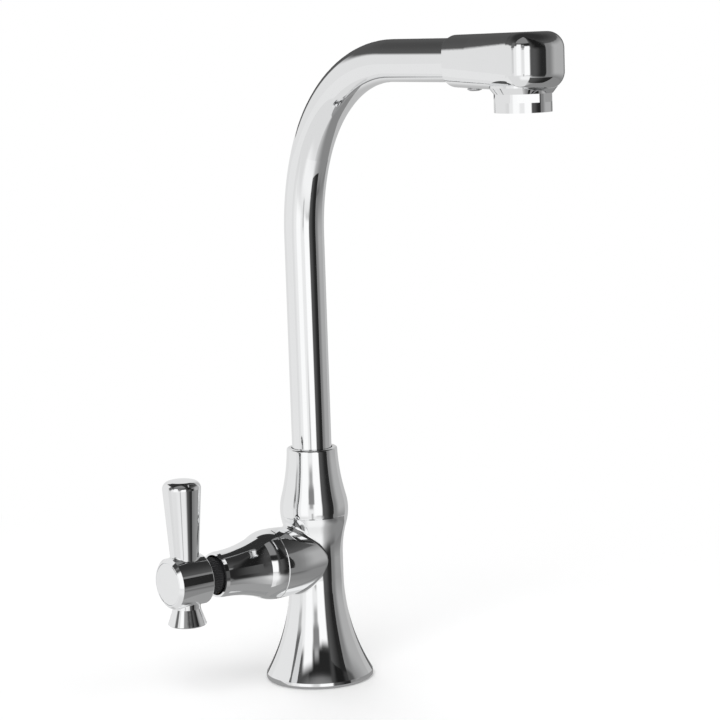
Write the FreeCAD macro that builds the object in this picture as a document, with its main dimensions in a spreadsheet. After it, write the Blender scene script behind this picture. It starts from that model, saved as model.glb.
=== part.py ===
"""Bar tap on one pillar: trumpet body, side valve with a lever, and a bent swivel spout.

Frame: +Z up, origin at the centre of the base's underside, which is the deck plane.
The spout runs along -Y and the valve branch along -X.  All sizes are in millimetres.
"""
import FreeCAD, Part
import math
import os

import Sketcher
from FreeCAD import Placement, Rotation, Vector

DIMENSIONS = [
    # body casting, heights above the deck
    ("base_r", 26.1, "largest radius of the trumpet base"),
    ("rim_round", 1.4, "rounding of the base's lower edge"),
    ("flare_r", 25.9, "radius where the flare leaves the rim"),
    ("flare_z", 2.8, "height where the flare leaves the rim"),
    ("waist_r", 13.2, "radius of the waist"),
    ("waist_low", 50.0, "height where the flare reaches the waist"),
    ("waist_high", 61.0, "height where the waist starts to swell"),
    ("bulge_r", 16.5, "radius of the swelling under the spout"),
    ("bulge_over", 2.4, "widest place of the swelling, above the joint line"),
    ("bulge_round", 25.0, "radius of the swelling's outline"),
    ("joint_z", 81.0, "joint line of the body and the spout collar"),
    ("spigot_r", 13.2, "threaded spigot that carries the collar"),
    ("spigot_len", 10.0, "length of that spigot"),
    ("socket_r", 11.4, "bore that the spout turns in"),
    ("socket_deep", 18.5, "depth of that bore, from the spigot's top"),
    ("skirt_mouth_r", 22.3, "skirt hollow at the deck"),
    ("skirt_roof_r", 16.8, "skirt hollow at its roof"),
    ("skirt_roof_z", 14.0, "height of the skirt hollow"),
    ("gasket_r", 23.9, "outer radius of the base gasket"),
    ("gasket_hole_r", 19.5, "inner radius of the base gasket"),
    ("gasket_thick", 2.0, "thickness of the base gasket"),
    ("inlet_way_r", 5.0, "water way up the pillar"),
    ("crotch_round", 1.6, "rounding where the branch meets the pillar"),
    # valve branch, lengths from the pillar's axis
    ("handle_z", 60.2, "height of the valve axis"),
    ("branch_root_r", 12.1, "branch radius at the pillar's axis"),
    ("branch_r", 16.9, "largest radius of the branch"),
    ("branch_end", 27.4, "joint line of the branch and the bonnet cover"),
    ("branch_crest_back", 1.2, "from the joint line back to where the branch is widest"),
    ("joint_bevel", 0.25, "bevel on both edges of a visible joint line"),
    ("seat_at", 8.0, "valve seat"),
    ("port_r", 4.6, "port in the valve seat"),
    ("chamber_r", 10.0, "valve chamber"),
    ("branch_thread", 10.0, "length of the cartridge's thread"),
    ("riser_r", 2.3, "way from the chamber up to the spout"),
    ("riser_at", 9.0, "distance of that way from the pillar's axis"),
    # fixing under the deck
    ("shank_r", 10.48, "half-inch pipe thread, over its crests"),
    ("shank_bore_r", 6.5, "bore of the shank"),
    ("shank_grip", 15.0, "length screwed into the body"),
    ("shank_reach", 55.0, "length below the deck"),
    ("shank_edge", 0.8, "chamfer of the shank's end"),
    ("supply_len", 24.0, "supply thread at the shank's lower end"),
    ("relief_len", 1.2, "plain neck over the supply thread"),
    ("relief_r", 9.6, "radius of that neck"),
    ("deck_gap", 16.0, "room for the worktop"),
    ("pad_r", 18.5, "radius of the rubber and steel washers"),
    ("pad_thick", 3.0, "rubber washer"),
    ("plate_thick", 1.5, "steel washer"),
    ("nut_flats", 27.0, "lock nut across its flats"),
    ("nut_thick", 8.0, "lock nut"),
    ("nut_edge", 1.0, "chamfer on the nut's corners"),
    # spout collar and swivel
    ("collar_neck_r", 12.15, "radius that the collar's outline runs out to"),
    ("collar_high", 32.6, "height of the collar over the joint line"),
    ("collar_neck_over", 2.4, "how far over its top the outline would run out"),
    ("collar_edge", 0.9, "rounding of the collar's top edge"),
    ("collar_mouth_gap", 0.4, "dark gap between collar and tube"),
    ("bush_wall", 1.3, "wall of the nylon guide bush"),
    ("bush_len", 7.0, "length of the guide bush"),
    ("bush_cover", 3.4, "depth of the bush under the collar's top"),
    ("ring_thick", 0.8, "nylon thrust rings"),
    ("ring_room", 12.85, "bore of the collar round rings and flange"),
    ("flange_r", 12.6, "flange of the spout ferrule"),
    ("flange_thick", 2.0, "thickness of that flange"),
    ("ferrule_bore_r", 7.5, "water way of the ferrule"),
    ("ferrule_cup", 5.9, "depth of the cup that holds the tube"),
    ("ferrule_lift", 1.0, "room under the ferrule"),
    ("groove_r", 9.8, "floor of the ferrule's seal grooves"),
    ("groove_wide", 2.2, "width of a seal groove"),
    ("groove_low", 4.0, "first groove above the ferrule's end"),
    ("groove_pitch", 5.5, "from the first groove to the second"),
    # spout tube
    ("tube_r", 9.525, "three-quarter-inch tube"),
    ("tube_wall", 1.2, "wall of the tube"),
    ("spout_z", 298.6, "height of the spout's level run"),
    ("sweep_r", 71.0, "bend radius"),
    ("lead_r", 100.0, "larger radius where the bend starts"),
    ("lead_deg", 23.4, "part of the bend made at that radius"),
    # nozzle block
    ("outlet_at", 160.7, "axis of the outlet, from the pillar's axis"),
    ("block_rear", 45.3, "from the outlet back to the block's rear edge"),
    ("rear_arc_r", 14.2, "radius of the rear edge, seen from above"),
    ("shoulder_len", 2.9, "length of the rear shoulder"),
    ("cheek_len", 17.6, "from the shoulder on to where the edges have tightened"),
    ("nose_past", 5.3, "from the outlet on to the centre of the round nose"),
    ("tube_short", 17.7, "from the outlet back to the tube's end"),
    ("socket_lead", 1.0, "length of the socket's cut before the rear edge"),
    ("rear_half_w", 10.0, "half width at the rear edge"),
    ("rear_half_h", 9.85, "half height at the rear edge"),
    ("rear_round", 9.7, "corner rounding at the rear edge"),
    ("shoulder_half_w", 10.15, "half width at the shoulder"),
    ("shoulder_up", 10.9, "height over the tube's axis at the shoulder"),
    ("shoulder_down", 11.7, "depth under the tube's axis at the shoulder"),
    ("shoulder_round", 9.8, "corner rounding at the shoulder"),
    ("cheek_half_w", 11.6, "half width at the cheeks"),
    ("cheek_up", 11.15, "height over the tube's axis at the cheeks"),
    ("cheek_down", 12.15, "depth under the tube's axis at the cheeks"),
    ("cheek_round", 9.5, "rounding of the upper edges at the cheeks"),
    ("belly_round", 9.2, "rounding of the lower edges at the cheeks"),
    ("nose_r", 14.2, "radius of the nose"),
    ("nose_up", 11.6, "height over the tube's axis at the nose"),
    ("nose_down", 12.6, "depth under the tube's axis at the nose"),
    ("top_round", 7.2, "rounding of the upper edges at the nose"),
    ("chin_round", 7.5, "rounding of the lower edges at the nose"),
    ("block_way_r", 8.0, "water way in the block"),
    ("seal_thick", 2.0, "washer at the tube's end"),
    ("outlet_way_r", 8.5, "water way down to the outlet"),
    ("outlet_dome", 4.25, "height and radius of the cone that closes that way"),
    ("boss_r", 14.3, "outlet boss where it leaves the block"),
    ("boss_high", 10.4, "top of the boss, below the tube's axis"),
    ("boss_turn", 11.4, "where its cone starts, below the tube's axis"),
    ("boss_low", 14.0, "end of the boss, below the tube's axis"),
    ("thread_r", 11.0, "aerator thread"),
    ("thread_len", 5.0, "length of that thread"),
    ("washer_thick", 1.4, "aerator washer"),
    ("screw_behind", 31.3, "from the outlet back to the retaining screw"),
    ("screw_head_r", 3.15, "head of the retaining screw"),
    ("screw_head", 1.1, "height of that head"),
    ("screw_crown_r", 1.9, "flat crown of that head"),
    ("screw_r", 2.0, "thread of the retaining screw"),
    # aerator
    ("aerator_r", 12.27, "outer radius of the aerator"),
    ("aerator_high", 7.8, "visible height of the aerator"),
    ("flat_high", 3.6, "height of the wrench flats"),
    ("flat_at", 11.3, "distance of a flat from the axis"),
    ("aerator_bore_r", 9.6, "bore of the aerator"),
    ("lip_r", 8.8, "mouth of the aerator"),
    ("lip_thick", 1.0, "thickness of its lip"),
    ("insert_high", 9.0, "height of the insert"),
    ("insert_wall", 1.2, "wall of the insert"),
    ("insert_floor", 1.6, "floor of the insert"),
    ("screen_thick", 0.5, "inlet screen"),
    ("slot_start", 2.4, "inner end of the insert's slots"),
    ("slot_end", 7.6, "outer end of these slots"),
    ("slot_start_half", 0.8, "half their width at the inner end"),
    ("slot_end_half", 1.9, "half their width at the outer end"),
    # bonnet cover
    ("cover_len", 31.7, "length of the cover"),
    ("cover_bulb", 8.2, "length of its round part, up to where it turns hollow"),
    ("cover_turn_r", 14.65, "radius at that place"),
    ("cover_lip", 1.7, "from where the hollow runs out to the cover's end"),
    ("cover_neck_r", 10.9, "radius where the hollow runs out"),
    ("cover_end_r", 10.55, "radius at the end of the cover"),
    ("cover_mouth_r", 9.6, "mouth of the cover"),
    ("cover_room_r", 13.2, "room over the hexagon"),
    ("cover_room_len", 8.8, "length of that room"),
    ("cover_room_bevel", 0.6, "bevel in the room's inner corner"),
    ("cover_room_bevel_len", 3.0, "length of that bevel"),
    ("cover_web", 9.8, "length of the threaded web"),
    # cartridge
    ("cartridge_washer", 1.0, "fibre washer under the cartridge's flange"),
    ("cartridge_flange_r", 12.3, "flange of the cartridge"),
    ("cartridge_flange", 2.0, "thickness of that flange"),
    ("cartridge_relief", 1.0, "depth of the relief between thread and flange"),
    ("hex_flats", 21.0, "hexagon across its flats"),
    ("hex_len", 4.8, "length of the hexagon"),
    ("gland_r", 8.6, "threaded neck that carries the cover"),
    ("gland_len", 12.8, "length of that neck beyond the hexagon"),
    ("barrel_r", 8.9, "barrel round the discs"),
    ("barrel_bore_r", 7.8, "bore of the barrel"),
    ("window_len", 3.4, "outlet windows of the barrel"),
    ("window_wide", 7.0, "width of an outlet window"),
    ("seat_seal_thick", 2.0, "rubber seat seal"),
    ("seat_seal_wall", 2.6, "width of that seal"),
    ("disc_r", 7.6, "ceramic discs"),
    ("disc_thick", 3.0, "thickness of a disc"),
    ("disc_gap", 0.03, "film between the discs"),
    ("port_in_r", 1.6, "inner radius of a disc's ports"),
    ("port_in_half", 1.2, "half their width there"),
    ("port_out_r", 5.4, "outer radius of a disc's ports"),
    ("port_out_half", 2.4, "half their width there"),
    ("foot_r", 7.4, "drive foot of the spindle"),
    ("foot_thick", 2.0, "thickness of the foot"),
    ("slip_thick", 0.6, "slip washer over the foot"),
    ("stem_r", 4.5, "spindle in its bore"),
    ("spline_r", 4.0, "splined end of the spindle"),
    ("spindle_short", 0.6, "room between the spindle's end and the hub's web"),
    ("stem_groove_r", 3.4, "floor of the spindle's seal grooves"),
    ("stem_groove_wide", 1.5, "width of such a groove"),
    ("stem_groove_at", 5.3, "from the slip washer to the first of these grooves"),
    ("stem_groove_pitch", 4.0, "from the first to the second"),
    ("clip_r", 6.2, "retaining clip"),
    ("clip_thick", 0.8, "thickness of the clip"),
    ("clip_groove_r", 3.5, "floor of the clip's groove"),
    # handle, lengths from the pillar's axis and heights from the valve axis
    ("neck_r", 8.4, "ribbed adaptor between cover and hub"),
    ("neck_hidden", 5.1, "length of the adaptor inside the cover"),
    ("neck_shown", 7.7, "length of the adaptor between cover and hub"),
    ("hub_len", 18.4, "length of the hub"),
    ("lever_back", 8.5, "from the hub's rear face to the lever's axis"),
    ("hub_r", 12.0, "radius of the hub"),
    ("hub_bead", 0.6, "rounding of the hub's rear edge"),
    ("hub_bevel", 1.5, "bevel of the hub's front edge"),
    ("hub_bevel_deep", 1.4, "depth of that bevel"),
    ("hub_deep", 6.7, "depth of the hub's bore for the adaptor"),
    ("web_thick", 3.0, "hub's web, which the screw clamps"),
    ("cap_r", 10.0, "end cap"),
    ("cap_bevel", 0.3, "bevel of the cap's edge"),
    ("cap_thick", 2.2, "thickness of the cap"),
    ("cap_plug", 1.6, "plug on the back of the cap"),
    ("recess_r", 5.5, "recess for the screw's head"),
    ("handle_screw_r", 2.5, "handle screw"),
    ("handle_screw_head_r", 4.25, "its head"),
    ("handle_screw_head", 3.0, "height of its head"),
    ("handle_screw_len", 14.5, "length of its thread"),
    ("lever_root_r", 5.95, "lever's radius at the valve axis, before its taper"),
    ("lever_r", 9.05, "largest radius of the lever"),
    ("lever_wide", 44.1, "height where the lever is widest"),
    ("lever_crown_r", 6.45, "where the edge gives way to the crown"),
    ("lever_crown", 47.56, "height of that place"),
    ("lever_edge", 3.6, "rounding of the lever's edge"),
    ("lever_top", 48.47, "top of the lever"),
    ("tail_root_r", 6.5, "tail where it leaves the hub"),
    ("tail_root", 12.9, "depth where the tail starts to flare"),
    ("tail_r", 9.1, "foot of the tail"),
    ("tail_end", 20.9, "depth of the tail's foot"),
    ("tail_edge", 0.5, "rounding of the tail's foot"),
    ("lever_fillet", 0.6, "rounding where the lever leaves the hub"),
    ("tail_fillet", 0.5, "rounding where the tail leaves the hub"),
    # clearances
    ("thread_gap", 0.05, "between the flanks of a thread"),
    ("run_gap", 0.05, "radial and end play of what turns"),
    ("seal_gap", 0.04, "between a seal and the wall that it wipes"),
    ("seat_gap", 0.05, "round what is slipped in and held"),
]


class Size:
    """A number with the sheet formula that it comes from."""

    def __init__(self, value, text):
        self.value = float(value)
        self.text = text

    def __add__(self, other):
        other = as_size(other)
        return Size(self.value + other.value, "(%s + %s)" % (self.text, other.text))

    def __sub__(self, other):
        other = as_size(other)
        return Size(self.value - other.value, "(%s - %s)" % (self.text, other.text))

    def __mul__(self, other):
        other = as_size(other)
        return Size(self.value * other.value, "(%s * %s)" % (self.text, other.text))

    def __truediv__(self, other):
        other = as_size(other)
        return Size(self.value / other.value, "(%s / %s)" % (self.text, other.text))

    def __radd__(self, other):
        return as_size(other) + self

    def __rsub__(self, other):
        return as_size(other) - self

    def __rmul__(self, other):
        return as_size(other) * self

    def __neg__(self):
        return Size(-self.value, "(0 - %s)" % self.text)


def as_size(number):
    """A plain number as a Size."""
    if isinstance(number, Size):
        return number
    return Size(number, "%.9g" % number)


def root(size):
    return Size(math.sqrt(size.value), "sqrt(%s)" % size.text)


def sine(angle):
    return Size(math.sin(math.radians(angle.value)), "sin(%s)" % angle.text)


def cosine(angle):
    return Size(math.cos(math.radians(angle.value)), "cos(%s)" % angle.text)


class Sheet:
    """The spreadsheet of driving dimensions; sheet.alias gives that cell as a Size."""

    def __init__(self, document, rows):
        cells = document.addObject("Spreadsheet::Sheet", "dims")
        for number, (alias, value, meaning) in enumerate(rows, start=1):
            cells.set("A%d" % number, meaning)
            cells.set("B%d" % number, repr(value))
            cells.setAlias("B%d" % number, alias)
        document.recompute()
        self.cells = cells

    def __getattr__(self, alias):
        return Size(self.cells.get(alias), "dims." + alias)


doc = FreeCAD.newDocument("bar_tap")
dim = Sheet(doc, DIMENSIONS)
sub_parts = []
valve_turn = Rotation(Vector(0, 1, 0), -90)


# places that several pieces share

bulge_z = dim.joint_z + dim.bulge_over
spigot_top = dim.joint_z + dim.spigot_len
socket_floor = spigot_top - dim.socket_deep
collar_top = dim.joint_z + dim.collar_high
branch_crest = dim.branch_end - dim.branch_crest_back
chamber_end = dim.branch_end - dim.branch_thread
tube_end = dim.outlet_at - dim.tube_short
screw_at = dim.outlet_at - dim.screw_behind
block_start = dim.outlet_at - dim.block_rear
shoulder_at = block_start + dim.shoulder_len
cheek_at = shoulder_at + dim.cheek_len
nose_at = dim.outlet_at + dim.nose_past
seam_z = dim.spout_z - dim.boss_low
cover_end = dim.branch_end + dim.cover_len
hub_start = cover_end + dim.neck_shown
hub_end = hub_start + dim.hub_len
web_start = hub_start + dim.hub_deep
web_end = web_start + dim.web_thick
lever_at = hub_start + dim.lever_back
neck_start = cover_end - dim.neck_hidden
cap_seat = hub_end - dim.cap_thick


# building blocks

def bind(thing, prop, size):
    """Tie one property to the sheet."""
    thing.setExpression(prop, as_size(size).text)


def new_body(label):
    """A body of its own for one piece; the label names its file."""
    body = doc.addObject("PartDesign::Body", "Body_" + label)
    body.Label = label
    sub_parts.append(body)
    return body


def on_valve_axis(body):
    """Stand a piece modelled along +Z on the valve axis, pointing away from the pillar."""
    body.Placement = Placement(Vector(0, 0, dim.handle_z.value), valve_turn)
    bind(body, "Placement.Base.z", dim.handle_z)


def origin_plane(body, role):
    for feature in body.Origin.OriginFeatures:
        if feature.Role == role:
            return feature
    raise ValueError(role)


def new_sketch(body, name, plane="XZ_Plane", offset=(0, 0, 0)):
    """A sketch on one of the body's own planes, moved by offset in the plane's axes."""
    sketch = body.newObject("Sketcher::SketchObject", name)
    sketch.AttachmentSupport = [(origin_plane(body, plane), "")]
    sketch.MapMode = "FlatFace"
    moves = [as_size(step) for step in offset]
    sketch.AttachmentOffset = Placement(Vector(*[step.value for step in moves]), Rotation())
    for axis, step in zip("xyz", moves):
        if isinstance(step, Size) and step.text != "0":
            bind(sketch, "AttachmentOffset.Base." + axis, step)
    return sketch


class Arc:
    """Between two corners of an outline: radius, and +1 to turn left or -1 to turn right."""

    def __init__(self, radius, turn):
        self.radius = as_size(radius)
        self.turn = turn


def arc_geometry(start, end, arc):
    """The arc from start to end, shorter way, turning left (+1) or right (-1)."""
    chord = end - start
    middle = (start + end) * 0.5
    rise = math.sqrt(max(arc.radius.value ** 2 - (chord.Length / 2) ** 2, 0.0))
    left = Vector(-chord.y, chord.x, 0).normalize()
    centre = middle + left * (rise * arc.turn)
    first = math.atan2(start.y - centre.y, start.x - centre.x)
    last = math.atan2(end.y - centre.y, end.x - centre.x)
    if arc.turn < 0:
        first, last = last, first
    circle = Part.Circle(centre, Vector(0, 0, 1), arc.radius.value)
    return Part.ArcOfCircle(circle, first, last)


def pin(sketch, index, end, corner):
    """Fix one end of a sketch line or arc at a corner given in sheet sizes."""
    for kind, size in zip(("DistanceX", "DistanceY"), corner):
        size = as_size(size)
        row = sketch.addConstraint(Sketcher.Constraint(kind, -1, 1, index, end, size.value))
        bind(sketch, "Constraints[%d]" % row, size)


def draw(sketch, outline, closed=True):
    """Lines and arcs through the corners of an outline, each corner tied to the sheet."""
    corners = [item for item in outline if not isinstance(item, Arc)]
    arcs = {}
    for place, item in enumerate(outline):
        if isinstance(item, Arc):
            arcs[sum(1 for before in outline[:place] if not isinstance(before, Arc)) - 1] = item
    spots = [Vector(as_size(x).value, as_size(y).value, 0) for x, y in corners]
    count = len(corners) if closed else len(corners) - 1
    ends = []
    for number in range(count):
        start = spots[number]
        end = spots[(number + 1) % len(spots)]
        arc = arcs.get(number)
        if arc is None:
            index = sketch.addGeometry(Part.LineSegment(start, end))
            ends.append((index, 1, 2))
            continue
        index = sketch.addGeometry(arc_geometry(start, end, arc))
        ends.append((index, 1, 2) if arc.turn > 0 else (index, 2, 1))
        row = sketch.addConstraint(Sketcher.Constraint("Radius", index, arc.radius.value))
        bind(sketch, "Constraints[%d]" % row, arc.radius)
    for number, (index, first, last) in enumerate(ends):
        pin(sketch, index, first, corners[number])
        if number + 1 < len(ends):
            after = ends[number + 1]
            sketch.addConstraint(Sketcher.Constraint("Coincident", index, last, after[0], after[1]))
    index, first, last = ends[-1]
    if closed:
        sketch.addConstraint(Sketcher.Constraint("Coincident", index, last, ends[0][0], ends[0][1]))
    else:
        pin(sketch, index, last, corners[-1])
    return sketch


def draw_circle(sketch, x, y, radius):
    """A circle tied to the sheet."""
    x, y, radius = as_size(x), as_size(y), as_size(radius)
    centre = Vector(x.value, y.value, 0)
    index = sketch.addGeometry(Part.Circle(centre, Vector(0, 0, 1), radius.value))
    pin(sketch, index, 3, (x, y))
    row = sketch.addConstraint(Sketcher.Constraint("Radius", index, radius.value))
    bind(sketch, "Constraints[%d]" % row, radius)
    return sketch


def revolve(body, name, outline, axis="V_Axis", plane="XZ_Plane", offset=(0, 0, 0), cut=False):
    """Turn an outline about the sketch's vertical or horizontal axis."""
    sketch = draw(new_sketch(body, name + "_outline", plane, offset), outline)
    kind = "PartDesign::Groove" if cut else "PartDesign::Revolution"
    feature = body.newObject(kind, name)
    feature.Profile = sketch
    feature.ReferenceAxis = (sketch, [axis])
    feature.Angle = 360.0
    body.Tip = feature
    return feature


def pad(body, name, sketch, length, both_ways=False, back=False):
    """Raise a sketch, along its plane's normal unless told otherwise."""
    feature = body.newObject("PartDesign::Pad", name)
    feature.Profile = sketch
    feature.Length = as_size(length).value
    bind(feature, "Length", length)
    if both_ways:
        feature.SideType = "Symmetric"
    feature.Reversed = back
    body.Tip = feature
    return feature


def pocket(body, name, sketch, length, back=False):
    """Sink a sketch, against its plane's normal unless told otherwise."""
    feature = body.newObject("PartDesign::Pocket", name)
    feature.Profile = sketch
    feature.Length = as_size(length).value
    bind(feature, "Length", length)
    feature.Reversed = back
    body.Tip = feature
    return feature


def around(body, name, feature, copies):
    """Repeat a feature round the body's Z axis."""
    pattern = body.newObject("PartDesign::PolarPattern", name)
    pattern.Originals = [feature]
    pattern.Axis = (feature.Profile[0], ["N_Axis"])
    pattern.Angle = 360.0
    pattern.Occurrences = copies
    body.Tip = pattern
    return pattern


def round_creases(body, name, radius, side=0):
    """Round every free-form crease, which is where two turned forms meet.

    side picks those at positive (+1) or negative (-1) local X, and 0 takes all.
    """
    doc.recompute()
    carrier = body.Tip
    creases = []
    for number, edge in enumerate(carrier.Shape.Edges, start=1):
        if edge.Degenerated or edge.Curve.TypeId != "Part::GeomBSplineCurve":
            continue
        if edge.CenterOfMass.x * side >= 0:
            creases.append("Edge%d" % number)
    feature = body.newObject("PartDesign::Fillet", name)
    feature.Base = (carrier, creases)
    bind(feature, "Radius", radius)
    body.Tip = feature
    return feature


def tube_outline(inner, outer, low, high):
    """Half section of a plain ring."""
    return [(inner, low), (outer, low), (outer, high), (inner, high)]


def turned(label, outline, valve=False):
    """A piece made by one turning."""
    body = new_body(label)
    revolve(body, label + "_turning", outline)
    if valve:
        on_valve_axis(body)
    return body


def seal_ring(label, wall_r, floor_r, middle, valve=False):
    """A round-section seal between a groove's floor and the wall that it wipes."""
    ring = doc.addObject("Part::Torus", "Ring_" + label)
    ring.Label = label
    wire_r = (wall_r - dim.seal_gap - floor_r) / 2
    bind(ring, "Radius2", wire_r)
    bind(ring, "Radius1", floor_r + wire_r)
    if valve:
        ring.Placement = Placement(Vector(0, 0, dim.handle_z.value), valve_turn)
        bind(ring, "Placement.Base.z", dim.handle_z)
        bind(ring, "Placement.Base.x", -middle)
    else:
        bind(ring, "Placement.Base.z", middle)
    sub_parts.append(ring)
    return ring


def s_curve(steady, far, radius):
    """Two arcs between parallel tangents: the corner between them and the far one's radius.

    steady and far are (radius, height) places, and the arc at steady has the radius given.
    """
    across = steady[0] - far[0]
    along = steady[1] - far[1]
    both = (across * across + along * along) / (2 * across)
    share = radius / both
    corner = (steady[0] - across * share, steady[1] - along * share)
    return corner, both - radius


def flare_arc(waist_r, waist_z, rim_r, rim_z):
    """Radius of the arc that leaves the waist upright and ends at the rim."""
    across = rim_r - waist_r
    along = rim_z - waist_z
    return (across * across + along * along) / (2 * across)


# pillar

def bulge_radius(height):
    """Radius of the swelling near the joint line."""
    drop = bulge_z - height
    radius = dim.bulge_round
    return dim.bulge_r - radius + root(radius * radius - drop * drop)


def trumpet_outline():
    """Half section of the pillar: rounded rim, one flare, waist, swelling and spigot."""
    flare = flare_arc(dim.waist_r, dim.waist_low, dim.flare_r, dim.flare_z)
    bulge = (dim.bulge_r, bulge_z)
    turn, hollow = s_curve(bulge, (dim.waist_r, dim.waist_high), dim.bulge_round)
    edge_z = dim.joint_z - dim.joint_bevel
    edge_r = bulge_radius(edge_z)
    return [
        (0, 0),
        (dim.base_r - dim.rim_round, 0), Arc(dim.rim_round, 1),
        (dim.base_r, dim.rim_round),
        (dim.flare_r, dim.flare_z), Arc(flare, -1),
        (dim.waist_r, dim.waist_low),
        (dim.waist_r, dim.waist_high), Arc(hollow, -1),
        turn, Arc(dim.bulge_round, 1),
        (edge_r, edge_z),
        (edge_r - dim.joint_bevel, dim.joint_z),
        (dim.spigot_r, dim.joint_z),
        (dim.spigot_r, spigot_top),
        (0, spigot_top),
    ]


def make_body_casting():
    """Pillar and branch in one casting, with its hollow skirt, water ways and sockets."""
    body = new_body("body_casting")
    revolve(body, "pillar", trumpet_outline())
    swell = flare_arc(0 - dim.branch_r, branch_crest, 0 - dim.branch_root_r, 0)
    revolve(body, "branch", [
        (0, 0),
        (0, dim.branch_root_r), Arc(swell, 1),
        (-branch_crest, dim.branch_r),
        (dim.joint_bevel - dim.branch_end, dim.branch_r),
        (-dim.branch_end, dim.branch_r - dim.joint_bevel),
        (-dim.branch_end, 0),
    ], axis="H_Axis", offset=(0, dim.handle_z, 0))
    round_creases(body, "crotch", dim.crotch_round)
    thread_r = dim.shank_r + dim.thread_gap
    shank_seat = dim.skirt_roof_z + dim.shank_grip
    revolve(body, "underside", [
        (0, 0),
        (dim.gasket_r, 0),
        (dim.gasket_r, dim.gasket_thick),
        (dim.skirt_mouth_r, dim.gasket_thick),
        (dim.skirt_roof_r, dim.skirt_roof_z),
        (thread_r, dim.skirt_roof_z),
        (thread_r, shank_seat),
        (dim.inlet_way_r, shank_seat),
        (dim.inlet_way_r, dim.handle_z),
        (0, dim.handle_z + dim.inlet_way_r),
    ], cut=True)
    revolve(body, "valve_socket", [
        (0, 0),
        (0, dim.port_r),
        (-dim.seat_at, dim.port_r),
        (-dim.seat_at, dim.chamber_r),
        (-chamber_end, dim.chamber_r),
        (-chamber_end, dim.shank_r + dim.thread_gap),
        (-dim.branch_end, dim.shank_r + dim.thread_gap),
        (-dim.branch_end, 0),
    ], axis="H_Axis", offset=(0, dim.handle_z, 0), cut=True)
    revolve(body, "spout_socket", [
        (0, socket_floor),
        (dim.socket_r, socket_floor),
        (dim.socket_r, spigot_top),
        (0, spigot_top),
    ], cut=True)
    riser = new_sketch(body, "riser_outline", "XY_Plane", (0, 0, socket_floor))
    draw_circle(riser, -dim.riser_at, 0, dim.riser_r)
    depth = socket_floor - dim.handle_z - dim.chamber_r + dim.riser_r
    pocket(body, "riser", riser, depth)


# fixing under the deck

def make_base_gasket():
    turned("base_gasket", tube_outline(dim.gasket_hole_r, dim.gasket_r, 0, dim.gasket_thick))


def make_mounting_shank():
    """Threaded pipe from the body's socket to the supply; the thread's form is not cut."""
    top = dim.skirt_roof_z + dim.shank_grip
    inside = dim.shank_r - dim.shank_edge
    neck = dim.supply_len - dim.shank_reach
    turned("mounting_shank", [
        (dim.shank_bore_r, -dim.shank_reach),
        (inside, -dim.shank_reach),
        (dim.shank_r, dim.shank_edge - dim.shank_reach),
        (dim.shank_r, neck),
        (dim.relief_r, neck),
        (dim.relief_r, neck + dim.relief_len),
        (dim.shank_r, neck + dim.relief_len),
        (dim.shank_r, top - dim.shank_edge),
        (inside, top),
        (dim.shank_bore_r, top),
    ])


def make_washers():
    hole = dim.shank_r + dim.thread_gap
    pad_low = -dim.deck_gap - dim.pad_thick
    turned("rubber_washer", tube_outline(hole, dim.pad_r, pad_low, -dim.deck_gap))
    turned("steel_washer", tube_outline(hole, dim.pad_r, pad_low - dim.plate_thick, pad_low))


def hexagon(flats):
    """Corners of a hexagon with a corner on the sketch's X axis."""
    far = flats / root(as_size(3))
    near = far / 2
    high = flats / 2
    return [(far, 0), (near, high), (-near, high), (-far, 0), (-near, -high), (near, -high)]


def chamfer_corners(body, name, flats, low, high, edge):
    """Turn the sharp corners off both ends of a hexagon."""
    corner = flats / root(as_size(3)) + edge
    start = flats / 2
    slope = (corner - start) / 2
    revolve(body, name + "_top", [(start, high), (corner, high - slope), (corner, high)], cut=True)
    revolve(body, name + "_foot", [(start, low), (corner, low), (corner, low + slope)], cut=True)


def make_lock_nut():
    high = -dim.deck_gap - dim.pad_thick - dim.plate_thick
    low = high - dim.nut_thick
    body = new_body("lock_nut")
    sketch = draw(new_sketch(body, "nut_outline", "XY_Plane", (0, 0, low)), hexagon(dim.nut_flats))
    pad(body, "nut_blank", sketch, dim.nut_thick)
    chamfer_corners(body, "nut_corners", dim.nut_flats, low, high, dim.nut_edge)
    hole = new_sketch(body, "nut_hole_outline", "XY_Plane", (0, 0, high))
    draw_circle(hole, 0, 0, dim.shank_r + dim.thread_gap)
    pocket(body, "nut_hole", hole, dim.nut_thick)


# spout collar and swivel, stacked upwards from the body's spigot

def swivel_levels():
    """Heights of the thrust rings and of the ferrule's flange between them."""
    levels = {"ring_low": spigot_top}
    levels["flange_low"] = levels["ring_low"] + dim.ring_thick + dim.run_gap
    levels["flange_high"] = levels["flange_low"] + dim.flange_thick
    levels["ring_high"] = levels["flange_high"] + dim.run_gap
    levels["shoulder"] = levels["ring_high"] + dim.ring_thick
    return levels


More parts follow.
